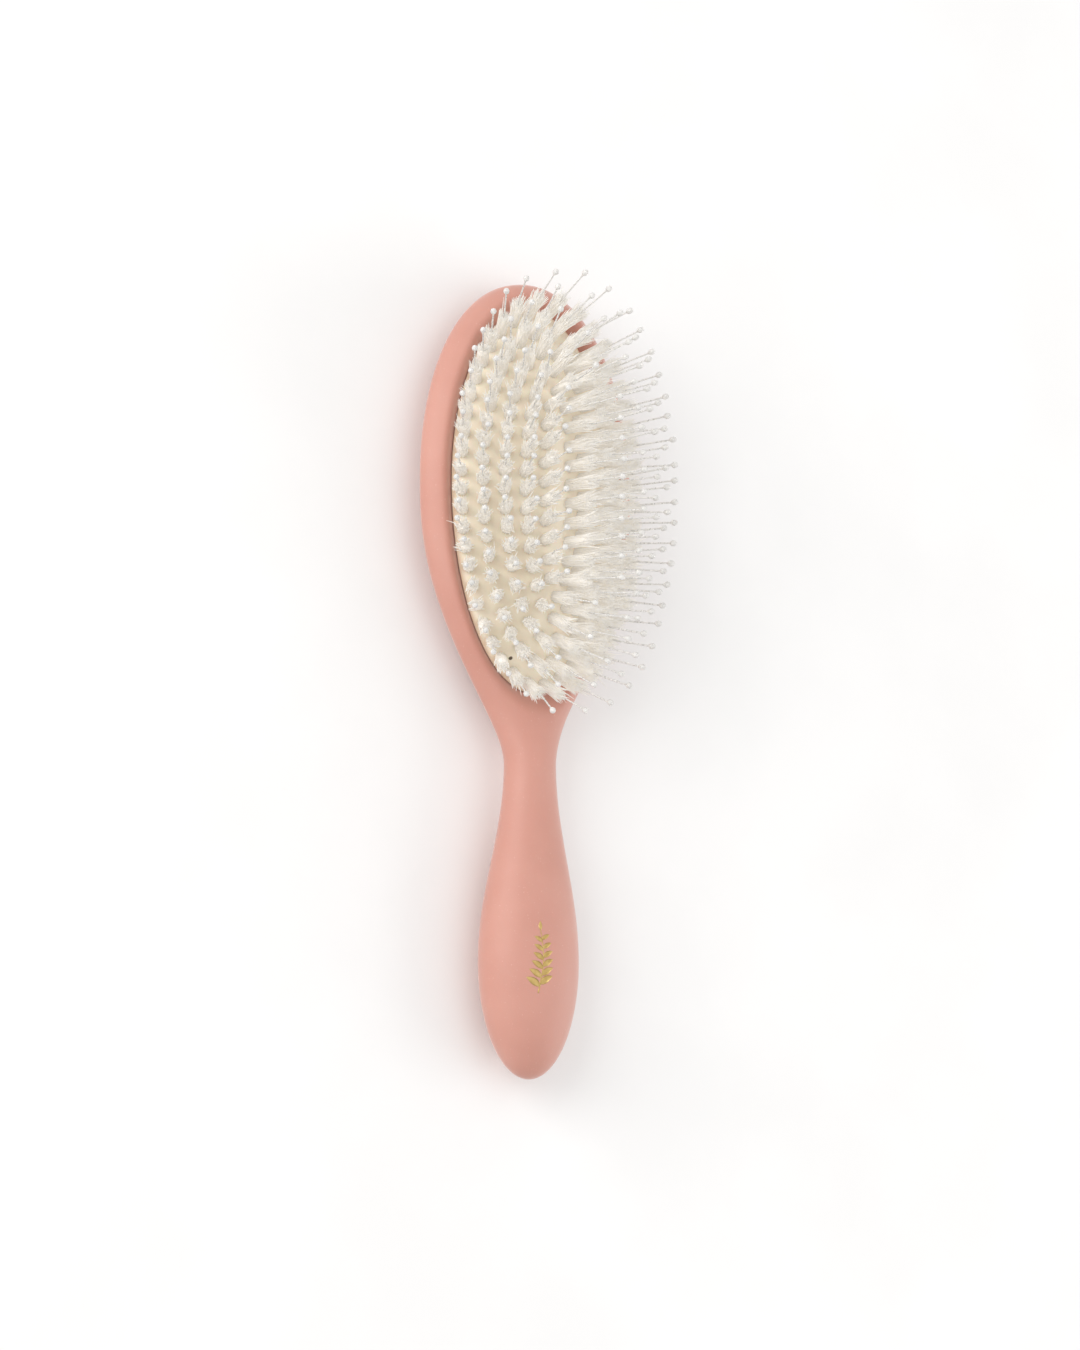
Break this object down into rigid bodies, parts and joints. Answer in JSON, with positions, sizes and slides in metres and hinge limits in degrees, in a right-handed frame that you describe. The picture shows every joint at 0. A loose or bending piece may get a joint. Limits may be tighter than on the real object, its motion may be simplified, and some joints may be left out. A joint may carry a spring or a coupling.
{
  "type": "cushion hairbrush",
  "caption": "Oval air-cushion hairbrush: smooth one-colour paddle, domed rubber cushion, rings of short bristle tufts, each with a longer ball-tipped pin.",
  "frame": {"origin": "middle of the bounding box on the plane the brush's back rests on", "axes": "+Z the way the bristles point, +Y from the handle to the tip of the head, +X to the right seen from the bristle side"},
  "size_m": [0.0748, 0.2288, 0.0474],
  "materials": {
    "soft_touch_body": "matte soft-touch lacquer, salmon pink",
    "inner_plastic": "as moulded",
    "cushion_rubber": "smooth ivory rubber",
    "nylon_bristle": "fine white filaments",
    "nylon_pin": "translucent white nylon",
    "bush_plastic": "as moulded",
    "gold_foil": "hot-stamped foil ornament, thin"
  },
  "bodies": {
    "body": {"back_shell": "soft_touch_body", "front_shell": "soft_touch_body", "chamber_tray": "inner_plastic", "cushion_pad": "cushion_rubber"},
    "ring_5": {"bristle_tufts_ring_5": "nylon_bristle", "ball_pins_ring_5": "nylon_pin", "tuft_bushes_ring_5": "bush_plastic"},
    "ring_1": {"bristle_tufts_ring_1": "nylon_bristle", "ball_pins_ring_1": "nylon_pin", "tuft_bushes_ring_1": "bush_plastic"},
    "ring_2": {"bristle_tufts_ring_2": "nylon_bristle", "ball_pins_ring_2": "nylon_pin", "tuft_bushes_ring_2": "bush_plastic"},
    "ring_3": {"bristle_tufts_ring_3": "nylon_bristle", "ball_pins_ring_3": "nylon_pin", "tuft_bushes_ring_3": "bush_plastic"},
    "ring_4": {"bristle_tufts_ring_4": "nylon_bristle", "ball_pins_ring_4": "nylon_pin", "tuft_bushes_ring_4": "bush_plastic"}
  },
  "joints": [
    {"name": "cushion_press", "type": "slide", "parent": "body", "child": "ring_5", "axis": [0, 0, -1], "range_m": [0, 0.00379], "stiffness_N_per_m": 1500, "deforming": ["cushion_pad"]},
    {"name": "ring_1_sink", "type": "slide", "parent": "body", "child": "ring_1", "axis": [0, 0, -1], "range_m": [0, 0.000464]},
    {"name": "ring_2_sink", "type": "slide", "parent": "body", "child": "ring_2", "axis": [0, 0, -1], "range_m": [0, 0.00148]},
    {"name": "ring_3_sink", "type": "slide", "parent": "body", "child": "ring_3", "axis": [0, 0, -1], "range_m": [0, 0.00243]},
    {"name": "ring_4_sink", "type": "slide", "parent": "body", "child": "ring_4", "axis": [0, 0, -1], "range_m": [0, 0.00324]}
  ],
  "couplings": [
    {"joint": "ring_1_sink", "follows": "cushion_press", "ratio": 0.1197},
    {"joint": "ring_2_sink", "follows": "cushion_press", "ratio": 0.3883},
    {"joint": "ring_3_sink", "follows": "cushion_press", "ratio": 0.6375},
    {"joint": "ring_4_sink", "follows": "cushion_press", "ratio": 0.8513}
  ]
}
